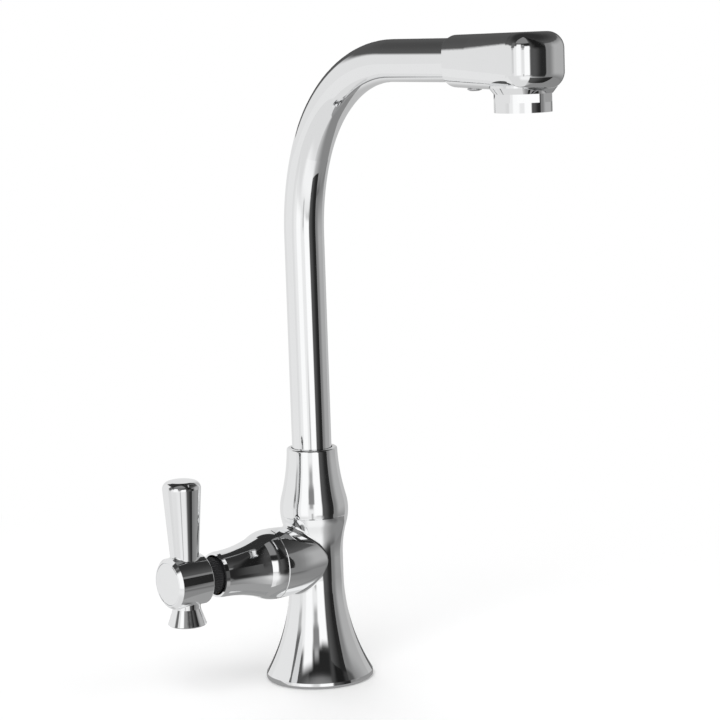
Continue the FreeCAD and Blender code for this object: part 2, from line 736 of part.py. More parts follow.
def collar_outline():
    """Half section of the collar: bulb below, long hollow cone above, stepped bore inside."""
    levels = swivel_levels()
    crest = (dim.bulge_r, bulge_z)
    neck = (dim.collar_neck_r, collar_top + dim.collar_neck_over)
    turn, hollow = s_curve(crest, neck, dim.bulge_round)
    edge_z = collar_top - dim.collar_edge
    drop = neck[1] - edge_z
    edge_r = neck[0] + hollow - root(hollow * hollow - drop * drop)
    bush_top = collar_top - dim.bush_cover
    bush_r = dim.tube_r + dim.run_gap + dim.bush_wall
    thread_r = dim.spigot_r + dim.thread_gap
    mouth_r = dim.tube_r + dim.collar_mouth_gap
    low_z = dim.joint_z + dim.joint_bevel
    low_r = bulge_radius(low_z)
    return [
        (thread_r, dim.joint_z),
        (low_r - dim.joint_bevel, dim.joint_z),
        (low_r, low_z), Arc(dim.bulge_round, 1),
        turn, Arc(hollow, -1),
        (edge_r, edge_z), Arc(dim.collar_edge, 1),
        (edge_r - dim.collar_edge, collar_top),
        (mouth_r, collar_top),
        (mouth_r, bush_top),
        (bush_r, bush_top),
        (bush_r, levels["shoulder"]),
        (dim.ring_room, levels["shoulder"]),
        (dim.ring_room, levels["ring_low"]),
        (thread_r, levels["ring_low"]),
    ]


def make_collar_group():
    levels = swivel_levels()
    turned("spout_collar", collar_outline())
    inner = dim.tube_r + dim.run_gap
    top = collar_top - dim.bush_cover
    turned("guide_bush", tube_outline(inner, inner + dim.bush_wall, top - dim.bush_len, top))
    outer = dim.ring_room - dim.seat_gap
    turned("lower_thrust_ring", tube_outline(
        dim.socket_r, outer, levels["ring_low"], levels["ring_low"] + dim.ring_thick))
    turned("upper_thrust_ring", tube_outline(
        dim.tube_r + dim.collar_mouth_gap, outer, levels["ring_high"], levels["shoulder"]))


def seal_groove(low, barrel_r):
    """Three corners short of the barrel: a square groove for a seal, going up."""
    return [
        (barrel_r, low),
        (dim.groove_r, low),
        (dim.groove_r, low + dim.groove_wide),
        (barrel_r, low + dim.groove_wide),
    ]


def make_spout_ferrule():
    """Turned foot of the spout: seal grooves below, flange above, cup for the tube."""
    levels = swivel_levels()
    low = socket_floor + dim.ferrule_lift
    barrel_r = dim.socket_r - dim.run_gap
    outline = [(dim.ferrule_bore_r, low), (barrel_r, low)]
    outline += seal_groove(low + dim.groove_low, barrel_r)
    outline += seal_groove(low + dim.groove_low + dim.groove_pitch, barrel_r)
    cup = levels["flange_high"] - dim.ferrule_cup
    outline += [
        (barrel_r, levels["flange_low"]),
        (dim.flange_r, levels["flange_low"]),
        (dim.flange_r, levels["flange_high"]),
        (dim.tube_r, levels["flange_high"]),
        (dim.tube_r, cup),
        (dim.ferrule_bore_r, cup),
    ]
    turned("spout_ferrule", outline)
    first = low + dim.groove_low + dim.groove_wide / 2
    seal_ring("lower_spout_seal", dim.socket_r, dim.groove_r, first)
    seal_ring("upper_spout_seal", dim.socket_r, dim.groove_r, first + dim.groove_pitch)


def make_spout_tube():
    """One tube: upright, a bend that starts gently and tightens, and a level run."""
    body = new_body("spout_tube")
    low = swivel_levels()["flange_high"] - dim.ferrule_cup
    lead = dim.lead_deg
    high = dim.spout_z
    tight_z = high - dim.sweep_r * (1 - sine(lead))
    bend_z = tight_z - dim.lead_r * sine(lead)
    tight_y = dim.lead_r * (1 - cosine(lead))
    level_y = tight_y + dim.sweep_r * cosine(lead)
    path = draw(new_sketch(body, "tube_path", "YZ_Plane"), [
        (0, low),
        (0, bend_z), Arc(dim.lead_r, 1),
        (-tight_y, tight_z), Arc(dim.sweep_r, 1),
        (-level_y, high),
        (-tube_end, high),
    ], closed=False)
    section = new_sketch(body, "tube_section", "XY_Plane", (0, 0, low))
    draw_circle(section, 0, 0, dim.tube_r)
    draw_circle(section, 0, 0, dim.tube_r - dim.tube_wall)
    pipe = body.newObject("PartDesign::AdditivePipe", "tube_sweep")
    pipe.Profile = section
    pipe.Spine = (path, ["Edge1", "Edge2", "Edge3", "Edge4"])
    body.Tip = pipe
    hole = new_sketch(body, "screw_hole_outline", "XY_Plane", (0, 0, high))
    draw_circle(hole, 0, -screw_at, dim.screw_r + dim.thread_gap)
    pocket(body, "screw_hole", hole, dim.tube_r)


# nozzle

def block_section(body, name, at, half_w, up, down, top_round, low_round):
    """Rounded section of the nozzle block, across the spout's axis."""
    low = dim.spout_z - down
    high = dim.spout_z + up
    return draw(new_sketch(body, name, "XZ_Plane", (0, 0, at)), [
        (low_round - half_w, low),
        (half_w - low_round, low), Arc(low_round, 1),
        (half_w, low + low_round),
        (half_w, high - top_round), Arc(top_round, 1),
        (half_w - top_round, high),
        (top_round - half_w, high), Arc(top_round, 1),
        (-half_w, high - top_round),
        (-half_w, low + low_round), Arc(low_round, 1),
    ])


def loft(body, name, first, second):
    feature = body.newObject("PartDesign::AdditiveLoft", name)
    feature.Profile = first
    feature.Sections = [second]
    feature.Ruled = True
    body.Tip = feature
    return feature


def make_nozzle_block():
    """Cast end of the spout: rear shoulder, widening flanks, round nose and outlet boss."""
    body = new_body("nozzle_block")
    rear = block_section(body, "rear_section", block_start, dim.rear_half_w, dim.rear_half_h,
                         dim.rear_half_h, dim.rear_round, dim.rear_round)
    shoulder = block_section(body, "shoulder_section", shoulder_at, dim.shoulder_half_w,
                             dim.shoulder_up, dim.shoulder_down, dim.shoulder_round,
                             dim.shoulder_round)
    cheeks = block_section(body, "cheek_section", cheek_at, dim.cheek_half_w,
                           dim.cheek_up, dim.cheek_down, dim.cheek_round, dim.belly_round)
    nose = block_section(body, "nose_section", nose_at, dim.nose_r, dim.nose_up,
                         dim.nose_down, dim.top_round, dim.chin_round)
    loft(body, "shoulder", rear, shoulder)
    loft(body, "cheeks", shoulder, cheeks)
    loft(body, "flanks", cheeks, nose)
    low = dim.spout_z - dim.nose_down
    high = dim.spout_z + dim.nose_up
    arc_r = dim.rear_arc_r
    behind = dim.socket_lead - block_start
    trim = draw(new_sketch(body, "rear_edge_outline", "XY_Plane", (0, 0, high)), [
        (-arc_r, -block_start - arc_r), Arc(arc_r, -1),
        (0, -block_start), Arc(arc_r, -1),
        (arc_r, -block_start - arc_r),
        (arc_r, behind),
        (-arc_r, behind),
    ])
    pocket(body, "rear_edge", trim, high - low)
    revolve(body, "nose", [
        (0, low),
        (dim.nose_r - dim.chin_round, low), Arc(dim.chin_round, 1),
        (dim.nose_r, low + dim.chin_round),
        (dim.nose_r, high - dim.top_round), Arc(dim.top_round, 1),
        (dim.nose_r - dim.top_round, high),
        (0, high),
    ], offset=(0, 0, nose_at))
    revolve(body, "boss", [
        (0, seam_z),
        (dim.aerator_r, seam_z),
        (dim.boss_r, dim.spout_z - dim.boss_turn),
        (dim.boss_r, dim.spout_z - dim.boss_high),
        (0, dim.spout_z - dim.boss_high),
    ], offset=(0, 0, dim.outlet_at))
    seal_end = tube_end + dim.seal_thick
    slip_r = dim.tube_r + dim.seat_gap
    revolve(body, "tube_socket", [
        (dim.socket_lead - block_start, 0),
        (dim.socket_lead - block_start, slip_r),
        (-seal_end, slip_r),
        (-seal_end, dim.block_way_r),
        (-dim.outlet_at, dim.block_way_r),
        (-dim.outlet_at, 0),
    ], axis="H_Axis", plane="YZ_Plane", offset=(0, dim.spout_z, 0), cut=True)
    seat = seam_z + dim.thread_len + dim.washer_thick
    revolve(body, "outlet", [
        (0, seam_z),
        (dim.thread_r + dim.thread_gap, seam_z),
        (dim.thread_r + dim.thread_gap, seat),
        (dim.outlet_way_r, seat),
        (dim.outlet_way_r, dim.spout_z),
        (dim.outlet_way_r - dim.outlet_dome, dim.spout_z + dim.outlet_dome),
        (0, dim.spout_z + dim.outlet_dome),
    ], offset=(0, 0, dim.outlet_at), cut=True)
    hole = new_sketch(body, "screw_hole_outline", "XY_Plane", (0, 0, dim.spout_z))
    draw_circle(hole, 0, -screw_at, dim.screw_r + dim.thread_gap)
    pocket(body, "block_screw_hole", hole, dim.boss_low)


def belly_depth(at):
    """Depth of the block's underside below the tube's axis, between shoulder and cheeks."""
    share = (at - shoulder_at) / dim.cheek_len
    return dim.shoulder_down + (dim.cheek_down - dim.shoulder_down) * share


def make_nozzle_fittings():
    body = new_body("nozzle_screw")
    head_top = dim.spout_z - belly_depth(screw_at + dim.screw_head_r)
    head_low = head_top - dim.screw_head
    revolve(body, "screw_turning", [
        (0, head_low),
        (dim.screw_crown_r, head_low),
        (dim.screw_head_r, head_low + dim.screw_head / 2),
        (dim.screw_head_r, head_top),
        (dim.screw_r, head_top),
        (dim.screw_r, dim.spout_z - dim.tube_r + dim.tube_wall),
        (0, dim.spout_z - dim.tube_r + dim.tube_wall),
    ], offset=(0, 0, screw_at))
    body = new_body("tube_end_seal")
    revolve(body, "tube_end_seal_turning", [
        (-tube_end, dim.block_way_r),
        (-tube_end, dim.tube_r),
        (-tube_end - dim.seal_thick, dim.tube_r),
        (-tube_end - dim.seal_thick, dim.block_way_r),
    ], axis="H_Axis", plane="YZ_Plane", offset=(0, dim.spout_z, 0))


# aerator, modelled on its own axis with its seam at height zero, then set on the outlet

def on_outlet(body):
    body.Placement = Placement(Vector(0, -dim.outlet_at.value, seam_z.value), Rotation())
    bind(body, "Placement.Base.y", -dim.outlet_at)
    bind(body, "Placement.Base.z", seam_z)


def make_aerator_housing():
    """Screw-in ring with six wrench flats over a full round band."""
    body = new_body("aerator_housing")
    revolve(body, "housing_turning", [
        (dim.lip_r, -dim.aerator_high),
        (dim.aerator_r, -dim.aerator_high),
        (dim.aerator_r, 0),
        (dim.thread_r, 0),
        (dim.thread_r, dim.thread_len),
        (dim.aerator_bore_r, dim.thread_len),
        (dim.aerator_bore_r, dim.lip_thick - dim.aerator_high),
        (dim.lip_r, dim.lip_thick - dim.aerator_high),
    ])
    outside = dim.aerator_r + dim.lip_thick
    half = dim.aerator_r / 2
    sketch = draw(new_sketch(body, "flat_outline", "XY_Plane"), [
        (dim.flat_at, -half),
        (outside, -half),
        (outside, half),
        (dim.flat_at, half),
    ])
    flat = pocket(body, "wrench_flat", sketch, dim.flat_high)
    around(body, "wrench_flats", flat, 6)
    on_outlet(body)


def make_aerator_inside():
    """Insert with a slotted floor, inlet screen on top, and the washer that seals the ring."""
    floor = dim.lip_thick - dim.aerator_high
    outer = dim.aerator_bore_r - dim.seat_gap
    top = floor + dim.insert_high
    body = new_body("aerator_insert")
    revolve(body, "insert_turning", [
        (0, floor),
        (outer, floor),
        (outer, top),
        (outer - dim.insert_wall, top),
        (outer - dim.insert_wall, floor + dim.insert_floor),
        (0, floor + dim.insert_floor),
    ])
    sketch = draw(new_sketch(body, "slot_outline", "XY_Plane", (0, 0, floor + dim.insert_floor)), [
        (dim.slot_start, -dim.slot_start_half),
        (dim.slot_end, -dim.slot_end_half),
        (dim.slot_end, dim.slot_end_half),
        (dim.slot_start, dim.slot_start_half),
    ])
    slot = pocket(body, "slot", sketch, dim.insert_floor)
    around(body, "slots", slot, 8)
    on_outlet(body)
    screen = turned("aerator_screen", [(0, top), (outer, top), (outer, top + dim.screen_thick),
                                       (0, top + dim.screen_thick)])
    on_outlet(screen)
    washer = turned("aerator_washer", tube_outline(
        dim.outlet_way_r, dim.thread_r, dim.thread_len, dim.thread_len + dim.washer_thick))
    on_outlet(washer)


# valve: every piece is modelled along +Z, which on_valve_axis lays along the branch

def valve_levels():
    """Places along the valve axis, stacked outwards from the seat."""
    levels = {"disc": dim.seat_at + dim.seat_seal_thick}
    levels["moving"] = levels["disc"] + dim.disc_thick + dim.disc_gap
    levels["foot"] = levels["moving"] + dim.disc_thick
    levels["slip"] = levels["foot"] + dim.foot_thick + dim.run_gap
    levels["shoulder"] = levels["slip"] + dim.slip_thick
    levels["flange"] = dim.branch_end + dim.cartridge_washer
    levels["hexagon"] = levels["flange"] + dim.cartridge_flange
    levels["gland"] = levels["hexagon"] + dim.hex_len + dim.gland_len
    return levels


def make_cartridge_body():
    """Brass headpart: windowed barrel, thread, flange, hexagon and threaded neck."""
    levels = valve_levels()
    body = new_body("cartridge_body")
    start = dim.seat_at + dim.seat_seal_thick / 2
    stem = dim.stem_r + dim.run_gap
    relief_r = dim.shank_r - dim.cartridge_relief
    revolve(body, "cartridge_turning", [
        (dim.barrel_bore_r, start),
        (dim.barrel_r, start),
        (dim.barrel_r, chamber_end),
        (dim.shank_r, chamber_end),
        (dim.shank_r, dim.branch_end),
        (relief_r, dim.branch_end),
        (relief_r, levels["flange"]),
        (dim.cartridge_flange_r, levels["flange"]),
        (dim.cartridge_flange_r, levels["hexagon"]),
        (dim.gland_r, levels["hexagon"]),
        (dim.gland_r, levels["gland"]),
        (stem, levels["gland"]),
        (stem, levels["shoulder"]),
        (dim.barrel_bore_r, levels["shoulder"]),
    ])
    sketch = new_sketch(body, "hexagon_outline", "XY_Plane", (0, 0, levels["hexagon"]))
    draw(sketch, hexagon(dim.hex_flats))
    draw_circle(sketch, 0, 0, (dim.gland_r + dim.stem_r) / 2)
    pad(body, "hexagon", sketch, dim.hex_len)
    window = draw(new_sketch(body, "window_outline", "XZ_Plane"), [
        (-dim.window_wide / 2, levels["foot"] - dim.window_len),
        (dim.window_wide / 2, levels["foot"] - dim.window_len),
        (dim.window_wide / 2, levels["foot"]),
        (-dim.window_wide / 2, levels["foot"]),
    ])
    feature = pocket(body, "windows", window, dim.barrel_r * 3)
    feature.SideType = "Symmetric"
    on_valve_axis(body)


def disc_with_ports(label, low):
    """Ceramic disc with two ports that face each other."""
    body = new_body(label)
    blank = draw_circle(new_sketch(body, label + "_outline", "XY_Plane", (0, 0, low)),
                        0, 0, dim.disc_r)
    pad(body, label + "_blank", blank, dim.disc_thick)
    sketch = draw(new_sketch(body, label + "_port", "XY_Plane", (0, 0, low + dim.disc_thick)), [
        (dim.port_in_r, -dim.port_in_half),
        (dim.port_out_r, -dim.port_out_half), Arc(dim.disc_r - dim.port_in_r, 1),
        (dim.port_out_r, dim.port_out_half),
        (dim.port_in_r, dim.port_in_half),
    ])
    port = pocket(body, label + "_way", sketch, dim.disc_thick)
    around(body, label + "_ways", port, 2)
    on_valve_axis(body)
    return body


def make_valve_discs():
    levels = valve_levels()
    disc_with_ports("fixed_disc", levels["disc"])
    disc_with_ports("moving_disc", levels["moving"])
    outer = dim.barrel_bore_r - dim.seat_gap
    turned("seat_seal", tube_outline(
        outer - dim.seat_seal_wall, outer, dim.seat_at, levels["disc"]), valve=True)
    turned("slip_washer", tube_outline(
        dim.stem_r + dim.run_gap, outer, levels["slip"], levels["shoulder"]), valve=True)
    turned("cartridge_gasket", tube_outline(
        dim.shank_r - dim.cartridge_relief + dim.seat_gap, dim.cartridge_flange_r,
        dim.branch_end, levels["flange"]), valve=True)


def stem_groove(low, floor_r, wide):
    return [
        (dim.stem_r, low),
        (floor_r, low),
        (floor_r, low + wide),
        (dim.stem_r, low + wide),
    ]


def make_spindle():
    """Drive foot, sealed stem, clip groove and the end that the handle is screwed to."""
    levels = valve_levels()
    foot_end = levels["foot"] + dim.foot_thick
    bore_r = dim.handle_screw_r + dim.thread_gap
    bore_end = web_end - dim.handle_screw_len - dim.run_gap
    spindle_end = web_start - dim.spindle_short
    clip_low = levels["gland"] + dim.run_gap
    groove = levels["shoulder"] + dim.stem_groove_at
    outline = [(0, levels["foot"]), (dim.foot_r, levels["foot"]), (dim.foot_r, foot_end)]
    outline += [(dim.stem_r, foot_end)]
    outline += stem_groove(groove, dim.stem_groove_r, dim.stem_groove_wide)
    second = groove + dim.stem_groove_pitch
    outline += stem_groove(second, dim.stem_groove_r, dim.stem_groove_wide)
    outline += stem_groove(clip_low, dim.clip_groove_r, dim.clip_thick)
    outline += [
        (dim.stem_r, neck_start),
        (dim.spline_r, neck_start),
        (dim.spline_r, spindle_end),
        (bore_r, spindle_end),
        (bore_r, bore_end),
        (0, bore_end),
    ]
    turned("spindle", outline, valve=True)
    bore = dim.stem_r + dim.run_gap
    first = groove + dim.stem_groove_wide / 2
    seal_ring("inner_stem_seal", bore, dim.stem_groove_r, first, valve=True)
    seal_ring("outer_stem_seal", bore, dim.stem_groove_r, first + dim.stem_groove_pitch, valve=True)
    turned("spindle_clip", tube_outline(
        dim.clip_groove_r, dim.clip_r, clip_low, clip_low + dim.clip_thick), valve=True)


def cover_outline():
    """Half section of the bonnet cover: bulb, hollow cone, thin mouth; web inside."""
    thread_r = dim.gland_r + dim.thread_gap
    turn = dim.branch_end + dim.cover_bulb
    neck = cover_end - dim.cover_lip
    room_end = dim.branch_end + dim.cover_room_len
    web_stop = room_end + dim.cover_web
    start = dim.branch_end + dim.joint_bevel
    bulb = flare_arc(-dim.branch_r, start, -dim.cover_turn_r, turn)
    hollow = flare_arc(dim.cover_neck_r, neck, dim.cover_turn_r, turn)
    return [
        (dim.cover_room_r, dim.branch_end),
        (dim.branch_r - dim.joint_bevel, dim.branch_end),
        (dim.branch_r, start), Arc(bulb, 1),
        (dim.cover_turn_r, turn), Arc(hollow, -1),
        (dim.cover_neck_r, neck),
        (dim.cover_end_r, cover_end),
        (dim.cover_mouth_r, cover_end),
        (dim.cover_mouth_r, web_stop),
        (thread_r, web_stop),
        (thread_r, room_end),
        (dim.cover_room_r - dim.cover_room_bevel, room_end),
        (dim.cover_room_r, room_end - dim.cover_room_bevel_len),
    ]


def make_bonnet_cover():
    turned("bonnet_cover", cover_outline(), valve=True)


# handle: local Z runs along the valve axis and local X points up

def make_handle():
    """Barrel hub, tapered lever and flared tail in one casting."""
    body = new_body("handle")
    revolve(body, "hub", [
        (0, hub_start),
        (dim.hub_r - dim.hub_bead, hub_start), Arc(dim.hub_bead, 1),
        (dim.hub_r, hub_start + dim.hub_bead),
        (dim.hub_r, hub_end - dim.hub_bevel_deep),
        (dim.hub_r - dim.hub_bevel, hub_end),
        (0, hub_end),
    ])
    revolve(body, "lever", [
        (0, 0),
        (0, dim.lever_root_r),
        (dim.lever_wide, dim.lever_r), Arc(dim.lever_edge, -1),
        (dim.lever_crown, dim.lever_crown_r),
        Arc(crown_radius(), -1),
        (dim.lever_top, 0),
    ], axis="H_Axis", offset=(0, lever_at, 0))
    revolve(body, "tail", [
        (0, 0),
        (0, dim.tail_root_r),
        (-dim.tail_root, dim.tail_root_r),
        (dim.tail_edge - dim.tail_end, dim.tail_r),
        (-dim.tail_end, dim.tail_r - dim.tail_edge),
        (-dim.tail_end, 0),
    ], axis="H_Axis", offset=(0, lever_at, 0))
    round_creases(body, "lever_root", dim.lever_fillet, side=1)
    round_creases(body, "tail_root", dim.tail_fillet, side=-1)
    revolve(body, "hub_bores", [
        (0, hub_start),
        (dim.neck_r + dim.seat_gap, hub_start),
        (dim.neck_r + dim.seat_gap, web_start),
        (dim.handle_screw_r + dim.thread_gap, web_start),
        (dim.handle_screw_r + dim.thread_gap, web_end),
        (dim.recess_r, web_end),
        (dim.recess_r, cap_seat),
        (dim.cap_r + dim.seat_gap, cap_seat),
        (dim.cap_r + dim.seat_gap, hub_end),
        (0, hub_end),
    ], cut=True)
    on_valve_axis(body)


def crown_radius():
    """Radius of the lever's crown, from its edge to its top."""
    rise = dim.lever_top - dim.lever_crown
    wide = dim.lever_crown_r
    return (wide * wide + rise * rise) / (2 * rise)


def make_handle_fittings():
    plug_r = dim.recess_r - dim.seat_gap
    turned("end_cap", [
        (0, cap_seat - dim.cap_plug),
        (plug_r, cap_seat - dim.cap_plug),
        (plug_r, cap_seat),
        (dim.cap_r, cap_seat),
        (dim.cap_r, hub_end - dim.cap_bevel),
        (dim.cap_r - dim.cap_bevel, hub_end),
        (0, hub_end),
    ], valve=True)
    turned("handle_screw", [
        (0, web_end - dim.handle_screw_len),
        (dim.handle_screw_r, web_end - dim.handle_screw_len),
        (dim.handle_screw_r, web_end),
        (dim.handle_screw_head_r, web_end),
        (dim.handle_screw_head_r, web_end + dim.handle_screw_head),
        (0, web_end + dim.handle_screw_head),
    ], valve=True)
    turned("ribbed_adaptor", tube_outline(
        dim.spline_r, dim.neck_r, neck_start, web_start), valve=True)


def check(parts):
    """Stop if any object failed or any piece is not one sound solid."""
    for thing in doc.Objects:
        if "Invalid" in thing.State or "Error" in thing.State:
            raise RuntimeError("%s: %s" % (thing.Name, thing.State))
    for piece in parts:
        shape = piece.Shape
        if shape.isNull() or not shape.isValid() or len(shape.Solids) != 1:
            raise RuntimeError(piece.Label + " is not one sound solid")


def export(parts):
    os.makedirs("parts", exist_ok=True)
    for piece in parts:
        piece.Shape.exportStep("parts/%s.step" % piece.Label)


make_body_casting()
make_base_gasket()
make_mounting_shank()
make_washers()
make_lock_nut()
make_collar_group()
make_spout_ferrule()
make_spout_tube()
make_nozzle_block()
make_nozzle_fittings()
make_aerator_housing()
make_aerator_inside()
make_cartridge_body()
make_valve_discs()
make_spindle()
make_bonnet_cover()
make_handle()
make_handle_fittings()
doc.recompute()
check(sub_parts)
export(sub_parts)
for piece in sub_parts:
    print("%-20s %10.1f mm3" % (piece.Label, piece.Shape.Volume))
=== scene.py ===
import math

import bmesh
import bpy
from mathutils import Matrix, Vector


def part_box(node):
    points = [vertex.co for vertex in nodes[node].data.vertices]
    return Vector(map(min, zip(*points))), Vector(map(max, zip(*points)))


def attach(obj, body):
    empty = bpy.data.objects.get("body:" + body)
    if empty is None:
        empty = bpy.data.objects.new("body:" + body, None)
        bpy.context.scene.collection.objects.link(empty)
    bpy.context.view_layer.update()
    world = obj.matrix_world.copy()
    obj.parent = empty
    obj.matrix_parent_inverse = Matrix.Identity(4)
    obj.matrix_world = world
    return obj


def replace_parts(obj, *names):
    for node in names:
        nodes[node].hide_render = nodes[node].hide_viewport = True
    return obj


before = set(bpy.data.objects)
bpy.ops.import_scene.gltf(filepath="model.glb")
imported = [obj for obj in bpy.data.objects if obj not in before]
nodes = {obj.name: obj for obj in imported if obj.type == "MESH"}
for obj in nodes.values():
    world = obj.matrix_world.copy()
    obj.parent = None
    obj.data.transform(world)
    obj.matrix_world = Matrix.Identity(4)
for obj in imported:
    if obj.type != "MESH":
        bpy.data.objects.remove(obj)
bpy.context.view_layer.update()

scene = bpy.context.scene
mm = 0.001

# how the photograph was taken, from the fit that also gave the real size
photo = {
    "turn": 35.657,          # degrees from the camera's own axes to the part's
    "distance": 1.12696,     # camera to pillar, level, metres
    "height": 0.32083,       # camera above the deck
    "tiltDown": 8.3656,      # degrees
    "pan": 1.2525,
    "roll": -1.8877,
    "lens": 118.498,         # millimetres
    "sensor": 36,
}
roomTurn = -math.radians(photo["turn"])


def addObject(name, data):
    item = bpy.data.objects.new(name, data)
    scene.collection.objects.link(item)
    return item


def makeCamera():
    down, pan, roll = (math.radians(photo[key]) for key in ("tiltDown", "pan", "roll"))
    ahead = Vector((math.sin(pan) * math.cos(down), math.cos(pan) * math.cos(down), -math.sin(down)))
    level = Vector((math.cos(pan), -math.sin(pan), 0))
    over = level.cross(ahead)
    right = level * math.cos(roll) + over * math.sin(roll)
    up = over * math.cos(roll) - level * math.sin(roll)
    place = Matrix((right, up, -ahead)).transposed().to_4x4()
    place.translation = Vector((0, -photo["distance"], photo["height"]))
    data = bpy.data.cameras.new("photoCamera")
    data.sensor_width = photo["sensor"]
    data.lens = photo["lens"]
    camera = addObject("photoCamera", data)
    camera.matrix_world = Matrix.Rotation(roomTurn, 4, "Z") @ place
    scene.camera = camera


def addNode(tree, kind, **settings):
    node = tree.nodes.new(kind)
    for key, value in settings.items():
        setattr(node, key, value)
    return node


def join(tree, source, target):
    tree.links.new(source, target)


def feed(tree, socket, value):
    if isinstance(value, bpy.types.NodeSocket):
        tree.links.new(value, socket)
    else:
        socket.default_value = value


def calc(tree, operation, *values):
    node = addNode(tree, "ShaderNodeMath", operation=operation)
    for socket, value in zip(node.inputs, values):
        feed(tree, socket, value)
    return node.outputs[0]


def plus(tree, first, second):
    return calc(tree, "ADD", first, second)


def minus(tree, first, second):
    return calc(tree, "SUBTRACT", first, second)


def times(tree, first, second):
    return calc(tree, "MULTIPLY", first, second)


def clamp(tree, value):      # to 0 and 1
    return calc(tree, "MINIMUM", calc(tree, "MAXIMUM", value, 0.0), 1.0)


def ramp(tree, value, low, high, start=0.0, end=1.0):
    node = addNode(tree, "ShaderNodeMapRange", interpolation_type="SMOOTHSTEP")
    for name, item in (("Value", value), ("From Min", low), ("From Max", high),
                       ("To Min", start), ("To Max", end)):
        feed(tree, node.inputs[name], item)
    return node.outputs["Result"]


def mixTone(tree, share, first, second):
    node = addNode(tree, "ShaderNodeMix", data_type="FLOAT")
    for place, value in ((0, share), (2, first), (3, second)):
        feed(tree, node.inputs[place], value)
    return node.outputs[0]


def combine(tree, *values):
    node = addNode(tree, "ShaderNodeCombineXYZ")
    for socket, value in zip(node.inputs, values):
        feed(tree, socket, value)
    return node.outputs[0]


def separate(tree, vector):
    node = addNode(tree, "ShaderNodeSeparateXYZ")
    join(tree, vector, node.inputs[0])
    return node.outputs


def objectSpot(tree):
    return addNode(tree, "ShaderNodeTexCoord").outputs["Object"]


def emptyTree(owner):
    owner.use_nodes = True
    owner.node_tree.nodes.clear()
    return owner.node_tree


def newGroup(name, takes, gives):
    group = bpy.data.node_groups.new(name, "ShaderNodeTree")
    for label, value in takes.items():
        socket = group.interface.new_socket(label, in_out="INPUT", socket_type="NodeSocketFloat")
        socket.default_value = value
    for label, kind in gives.items():
        group.interface.new_socket(label, in_out="OUTPUT", socket_type=kind)
    return group, addNode(group, "NodeGroupInput").outputs, addNode(group, "NodeGroupOutput").inputs


def useGroup(tree, group, **values):
    node = addNode(tree, "ShaderNodeGroup", node_tree=group)
    for key, value in values.items():
        feed(tree, node.inputs[key], value)
    return node


reflectors = {    # edges in degrees round the tap, 0 towards the camera; each lies over those before it
    "zenith": dict(left=-60, right=30, low=40, high=95, tone=0.24, soft=3),
    "darkFront": dict(left=-30, right=70, low=24, high=39, tone=0.020, soft=3),
    "floorLeft": dict(left=-200, right=24, low=-95, high=-16, tone=0.76, soft=3),
    "floorFront": dict(left=-30, right=34, low=-44, high=-20, tone=0.97, soft=10),
    "floorUnder": dict(left=-190, right=-140, low=-95, high=-44, tone=0.30, soft=12),
    "leftWall": dict(left=-146, right=-58, low=-18, high=21, tone=0.79, soft=4),
    "leftGap": dict(left=-76, right=-63, low=-1, high=26, tone=0.47, soft=3.5),
    "leftSeam": dict(left=-80, right=-72, low=-20, high=0, tone=0.75, soft=4),
    "softboxLeft": dict(left=-62, right=8, low=-18, high=22, tone=0.88, soft=4),
    "softboxMiddle": dict(left=-46, right=-20, low=-15, high=33, tone=1.04, soft=4),
    "midSeam": dict(left=-9, right=-3, low=-22, high=-9, tone=0.50, soft=1.5),
    "midGap": dict(left=-15, right=-2, low=1, high=30, tone=0.40, soft=4),
    "softboxRight": dict(left=0, right=28, low=-15, high=21, tone=1.06, soft=3),
    "gapTop": dict(left=-80, right=-60, low=10, high=40, tone=0.14, soft=4),
    "midGapTop": dict(left=-18, right=2, low=11, high=24, tone=0.24, soft=3),
    "blackFlag": dict(left=31, right=68, low=-25, high=95, tone=0.090, soft=6),
    "flagDeep": dict(left=47, right=90, low=-25, high=22, tone=0.022, soft=10),
    "flagCore": dict(left=36, right=66, low=7, high=95, tone=0.012, soft=9),
    "rightWall": dict(left=68, right=150, low=-24, high=28, tone=0.22, soft=1.5),
    "rightGlow": dict(left=86, right=138, low=-14, high=22, tone=0.44, soft=10),
}
room = {          # what is mirrored beside the reflectors: two angles in degrees, then the tones there
    "ceiling": (24.0, 60.0, 0.095, 0.030),     # by elevation
    "ground": (16.0, 78.0, 0.62, 0.255),       # by azimuth, greyer to the right
    "groundEdge": (-21.0, -14.0, 1.0, 0.0),    # by elevation, the ground's share
    "softLight": 0.72,                         # on what isn't a mirror
    "backdrop": 1.0,
}


def makeReflectorGroup():
    labels = ("azimuth", "elevation", "left", "right", "low", "high", "soft", "tone", "under")
    group, given, out = newGroup("reflector", dict.fromkeys(labels, 0.0), {"tone": "NodeSocketFloat"})
    share = 1.0
    for angle, edge, fade in (("azimuth", "left", (0.0, 1.0)), ("azimuth", "right", (1.0, 0.0)),
                              ("elevation", "low", (0.0, 1.0)), ("elevation", "high", (1.0, 0.0))):
        first = minus(group, given[edge], given["soft"])
        last = plus(group, given[edge], given["soft"])
        share = times(group, share, ramp(group, given[angle], first, last, *fade))
    join(group, mixTone(group, share, given["under"], given["tone"]), out["tone"])
    return group


def lookAngles(tree):        # azimuth and elevation of a ray, in degrees in the photographer's axes
    turned = addNode(tree, "ShaderNodeMapping", vector_type="NORMAL")
    turned.inputs["Rotation"].default_value[2] = -roomTurn
    join(tree, addNode(tree, "ShaderNodeTexCoord").outputs["Generated"], turned.inputs["Vector"])
    x, y, z = separate(tree, turned.outputs["Vector"])
    degrees = math.degrees(1)
    azimuth = times(tree, calc(tree, "ARCTAN2", x, times(tree, y, -1.0)), degrees)
    return azimuth, times(tree, calc(tree, "ARCSINE", z), degrees)


